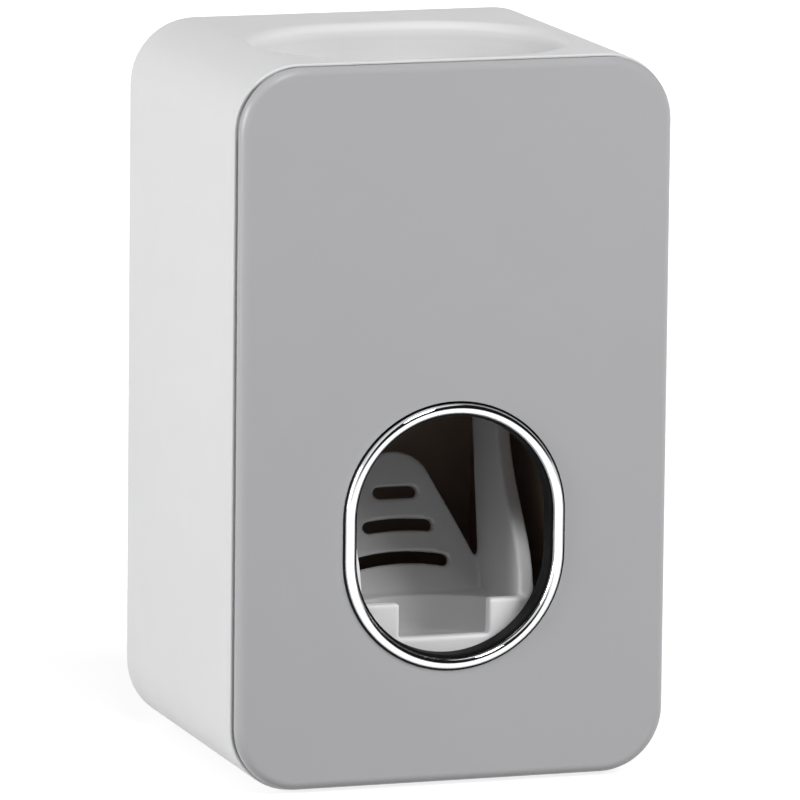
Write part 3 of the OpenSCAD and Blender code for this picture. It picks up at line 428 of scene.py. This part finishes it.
def dress_cad_nodes():
    slots = {p["node"]: p["material_slot"] for p in frame["record"]["subparts"]}
    group = smooth_by_angle(CREASE_ANGLE)
    for name, obj in frame["nodes"].items():
        obj.data.materials.clear()
        obj.data.materials.append(MATERIALS[slots[name]])
        obj.modifiers.new("smooth_by_angle", "NODES").node_group = group
        weight_normals(obj)


# Ring

def at(x, d, z):
    """Point in metres."""
    return Vector((x, FACE_Y + d, z)) * MM


def arc(c0, c1, r, a0, a1, n):
    """Points of an arc in (offset, depth), angles in degrees from +offset towards +depth."""
    return [(c0 + r * math.cos(math.radians(a0 + (a1 - a0) * i / n)),
             c1 + r * math.sin(math.radians(a0 + (a1 - a0) * i / n))) for i in range(n + 1)]


def ring_section():
    """Closed section in (offset from the outer edge, depth), from the foot over the bead to the skirt."""
    half = (RING_BAND - FOOT_W - LIP_W) / 2
    centre = -FOOT_W - half
    rise = (RING_PROUD - FOOT_H) * BEAD_FLATTEN
    section = [(0.0, 0.0), (0.0, -FOOT_H + FOOT_BEVEL), (-FOOT_BEVEL, -FOOT_H), (-FOOT_W, -FOOT_H)]
    for i in range(BEAD_STEPS + 1):
        angle = math.radians(180 * i / BEAD_STEPS)
        section.append((centre + half * math.cos(angle), -FOOT_H - BEAD_SEAT - rise * math.sin(angle)))
    section += [(centre - half, LIP_D - LIP_BEVEL_D), (centre - half - LIP_BEVEL_W, LIP_D)]
    inner = -RING_BAND
    section += arc(inner + LIP_EDGE_R, LIP_D + LIP_EDGE_R, LIP_EDGE_R, 270, 180, LIP_EDGE_STEPS)
    section += arc(inner + SKIRT_EDGE_R, SKIRT_D - SKIRT_EDGE_R, SKIRT_EDGE_R, 180, 90, SKIRT_EDGE_STEPS)
    section += [(inner + SKIRT_WALL, SKIRT_D), (inner + SKIRT_WALL, 0.0)]
    return section


def ring_outline():
    """Directions around the opening, upper then lower half turn, with the height of their centre."""
    points = []
    for start, centre in ((0, RING_STRAIGHT / 2), (180, -RING_STRAIGHT / 2)):
        for i in range(RING_STEPS + 1):
            angle = math.radians(start + 180 * i / RING_STEPS)
            points.append((math.cos(angle), math.sin(angle), OPENING_Z + centre))
    return points


def loft(name, loops):
    """Mesh of quads between loops of equal count, the last one joined to the first."""
    count = len(loops[0])
    verts = [tuple(p) for loop in loops for p in loop]
    faces = []
    for a in range(len(loops)):
        b = (a + 1) % len(loops)
        for i in range(count):
            j = (i + 1) % count
            faces.append((a * count + i, a * count + j, b * count + j, b * count + i))
    mesh = bpy.data.meshes.new(name)
    mesh.from_pydata(verts, [], faces)
    return mesh


def smooth_faces(mesh, angle):
    """Faces that point outwards and are shaded smooth, with creases kept sharp."""
    bm = bmesh.new()
    bm.from_mesh(mesh)
    bmesh.ops.recalc_face_normals(bm, faces=bm.faces)
    bm.normal_update()
    for face in bm.faces:
        face.smooth = True
    for edge in bm.edges:
        edge.smooth = edge.calc_face_angle() <= math.radians(angle)
    bm.to_mesh(mesh)
    bm.free()


def opening_ring():
    """Plated ring: a round bead between a fine recessed foot and a sunk inner lip, with a skirt behind."""
    outline = ring_outline()
    loops = [[at(u * (RING_R + offset), d, z + v * (RING_R + offset)) for u, v, z in outline]
             for offset, d in ring_section()]
    mesh = loft("chrome_bezel", loops)
    smooth_faces(mesh, RING_CREASE_ANGLE)
    mesh.materials.append(MATERIALS["chrome_ring"])
    obj = bpy.data.objects.new("chrome_bezel", mesh)
    bpy.context.scene.collection.objects.link(obj)
    weight_normals(obj)
    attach(obj, "case")
    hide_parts("opening_ring")


# Lever

def apply_modifiers(obj):
    bpy.context.view_layer.update()
    graph = bpy.context.evaluated_depsgraph_get()
    mesh = bpy.data.meshes.new_from_object(obj.evaluated_get(graph))
    old = obj.data
    obj.modifiers.clear()
    obj.data = mesh
    bpy.data.meshes.remove(old)


def fade(distance, width):
    return min(1.0, max(0.0, distance / width))


def soften(obj, name, rounds, group=""):
    modifier = obj.modifiers.new(name, "SMOOTH")
    modifier.factor = ROUND_FACTOR
    modifier.iterations = rounds
    modifier.vertex_group = group


def push_lever():
    """Lever as moulded: the solid's shape with every edge softened, most along the arms."""
    obj = bpy.data.objects.new("soft_lever", frame["nodes"]["push_lever"].data.copy())
    bpy.context.scene.collection.objects.link(obj)
    remesh = obj.modifiers.new("remesh", "REMESH")
    remesh.mode = "VOXEL"
    remesh.voxel_size = LEVER_VOXEL * MM
    apply_modifiers(obj)
    arms = obj.vertex_groups.new(name="arms")
    for v in obj.data.vertices:
        side, height = abs(v.co.x) / MM, v.co.z / MM
        share = fade(side - ARM_INSIDE, ARM_FADE_INSIDE)
        share *= fade(OPENING_Z + ARM_TOP - height, ARM_FADE_TOP)
        share *= fade(height - (OPENING_Z - ARM_LOW), ARM_FADE_LOW)
        if share > 0:
            arms.add([v.index], share, "REPLACE")
    soften(obj, "soften", EDGE_ROUNDS)
    soften(obj, "soften_arms", ARM_ROUNDS, "arms")
    apply_modifiers(obj)
    obj.data.materials.clear()
    obj.data.materials.append(MATERIALS["lever_plastic"])
    for face in obj.data.polygons:
        face.use_smooth = True
    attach(obj, "lever")
    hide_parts("push_lever")


# Camera and studio

def outwards(azimuth, elevation):
    """Direction away from the object, at angles in degrees. Azimuth 0 is in front of it."""
    turn, rise = math.radians(azimuth), math.radians(elevation)
    return Vector((math.sin(turn) * math.cos(rise), -math.cos(turn) * math.cos(rise), math.sin(rise)))


def camera():
    data = bpy.data.cameras.new("photo_camera")
    data.lens = CAMERA_LENS
    data.sensor_width = CAMERA_SENSOR
    data.clip_end = CAMERA_CLIP_END
    obj = bpy.data.objects.new("photo_camera", data)
    bpy.context.scene.collection.objects.link(obj)
    away = outwards(CAMERA_AZIMUTH, CAMERA_ELEVATION)
    facing = away.to_track_quat("Z", "Y").to_matrix().to_4x4()
    roll = Matrix.Rotation(math.radians(CAMERA_ROLL), 4, "Z")
    obj.matrix_world = Matrix.Translation((CAMERA_AIM + away * CAMERA_DISTANCE) * MM) @ facing @ roll
    bpy.context.scene.camera = obj


def stage_floor():
    """Pale floor that keeps the object's shadow. The camera and what shines see it glow into white."""
    mesh = bpy.data.meshes.new("floor")
    corners = [(x * FLOOR_HALF, y * FLOOR_HALF, 0) for x, y in ((-1, -1), (1, -1), (1, 1), (-1, 1))]
    mesh.from_pydata(corners, [], [(0, 1, 2, 3)])
    obj = bpy.data.objects.new("floor", mesh)
    bpy.context.scene.collection.objects.link(obj)
    obj.location.z = -FLOOR_DROP
    mat, tree, shader = new_material("floor")
    tree.feed(tree.drift(FLOOR_NOISE, FLOOR_DARK, FLOOR_LIGHT), shader["Base Color"])
    shader["Roughness"].default_value = 0.9
    shader["Specular IOR Level"].default_value = 0.1
    rays = tree.nodes.new("ShaderNodeLightPath").outputs
    seen = tree.math("MAXIMUM", rays["Is Camera Ray"], rays["Is Glossy Ray"])
    reach = tree.vector("LENGTH", tree.coords("Object"))
    far = tree.stretch(reach, FLOOR_GLOW_NEAR, FLOOR_GLOW_FAR, FLOOR_GLOW)
    glow = tree.nodes.new("ShaderNodeEmission")
    tree.feed(tree.math("MULTIPLY", seen, far), glow.inputs["Strength"])
    both = tree.nodes.new("ShaderNodeAddShader")
    tree.feed(tree.nodes["Principled BSDF"].outputs["BSDF"], both.inputs[0])
    tree.feed(glow.outputs["Emission"], both.inputs[1])
    tree.feed(both.outputs["Shader"], tree.nodes["Material Output"].inputs["Surface"])
    mesh.materials.append(mat)


def world():
    """White studio with a weak fill. What shines also sees a dark zone, front right and not overhead."""
    env = bpy.data.worlds.new("studio")
    bpy.context.scene.world = env
    env.use_nodes = True
    tree = Tree(env.node_tree)
    fill = tree.nodes["Background"]
    fill.inputs["Color"].default_value = (1, 1, 1, 1)
    fill.inputs["Strength"].default_value = FILL
    white = tree.nodes.new("ShaderNodeBackground")
    white.inputs["Color"].default_value = (1, 1, 1, 1)
    white.inputs["Strength"].default_value = 1.0
    tones = ((0, 0, 0), (1, 1, 1), (1, 1, 1), (0, 0, 0))
    band = tree.ramp(tree.parts("Generated")["Z"], tuple(zip(ZONE_HEIGHTS, tones)))
    side = tree.vector("DOT_PRODUCT", tree.coords("Generated"), ZONE_SIDE)
    dark = tree.math("MULTIPLY", band, tree.stretch(side, -ZONE_EDGE, ZONE_EDGE))
    mirrored = tree.nodes.new("ShaderNodeBackground")
    tree.feed(tree.stretch(dark, 0.0, 1.0, 1.0, ZONE_LEVEL), mirrored.inputs["Strength"])
    rays = tree.nodes.new("ShaderNodeLightPath").outputs
    shown = tree.mix_shader(rays["Is Camera Ray"], fill.outputs[0], white.outputs[0])
    surface = tree.mix_shader(rays["Is Glossy Ray"], shown, mirrored.outputs[0])
    tree.feed(surface, tree.nodes["World Output"].inputs["Surface"])


def area_light(name, azimuth, elevation, distance, size, power, shines):
    """Soft square lamp that faces the object. Distance and size are in metres, power in watts."""
    data = bpy.data.lights.new(name, "AREA")
    data.shape = "SQUARE"
    data.size = size
    data.energy = power
    obj = bpy.data.objects.new(name, data)
    bpy.context.scene.collection.objects.link(obj)
    away = outwards(azimuth, elevation)
    centre = Vector((0, 0, BODY_H / 2)) * MM
    facing = away.to_track_quat("Z", "Y").to_matrix().to_4x4()
    obj.matrix_world = Matrix.Translation(centre + away * distance) @ facing
    obj.visible_glossy = shines


def lights():
    area_light("key_left", -84, 11, distance=1.15, size=0.7, power=10.6, shines=True)
    area_light("front_right", 42, 30, distance=1.2, size=0.5, power=9.4, shines=False)
    area_light("front_top", -6, 54, distance=1.2, size=0.35, power=3.7, shines=True)
    area_light("back_soft", 172, 0, distance=1.2, size=0.7, power=8.0, shines=False)


camera()
bpy.context.scene.view_settings.view_transform = "Standard"
dress_cad_nodes()
opening_ring()
push_lever()
stage_floor()
world()
lights()
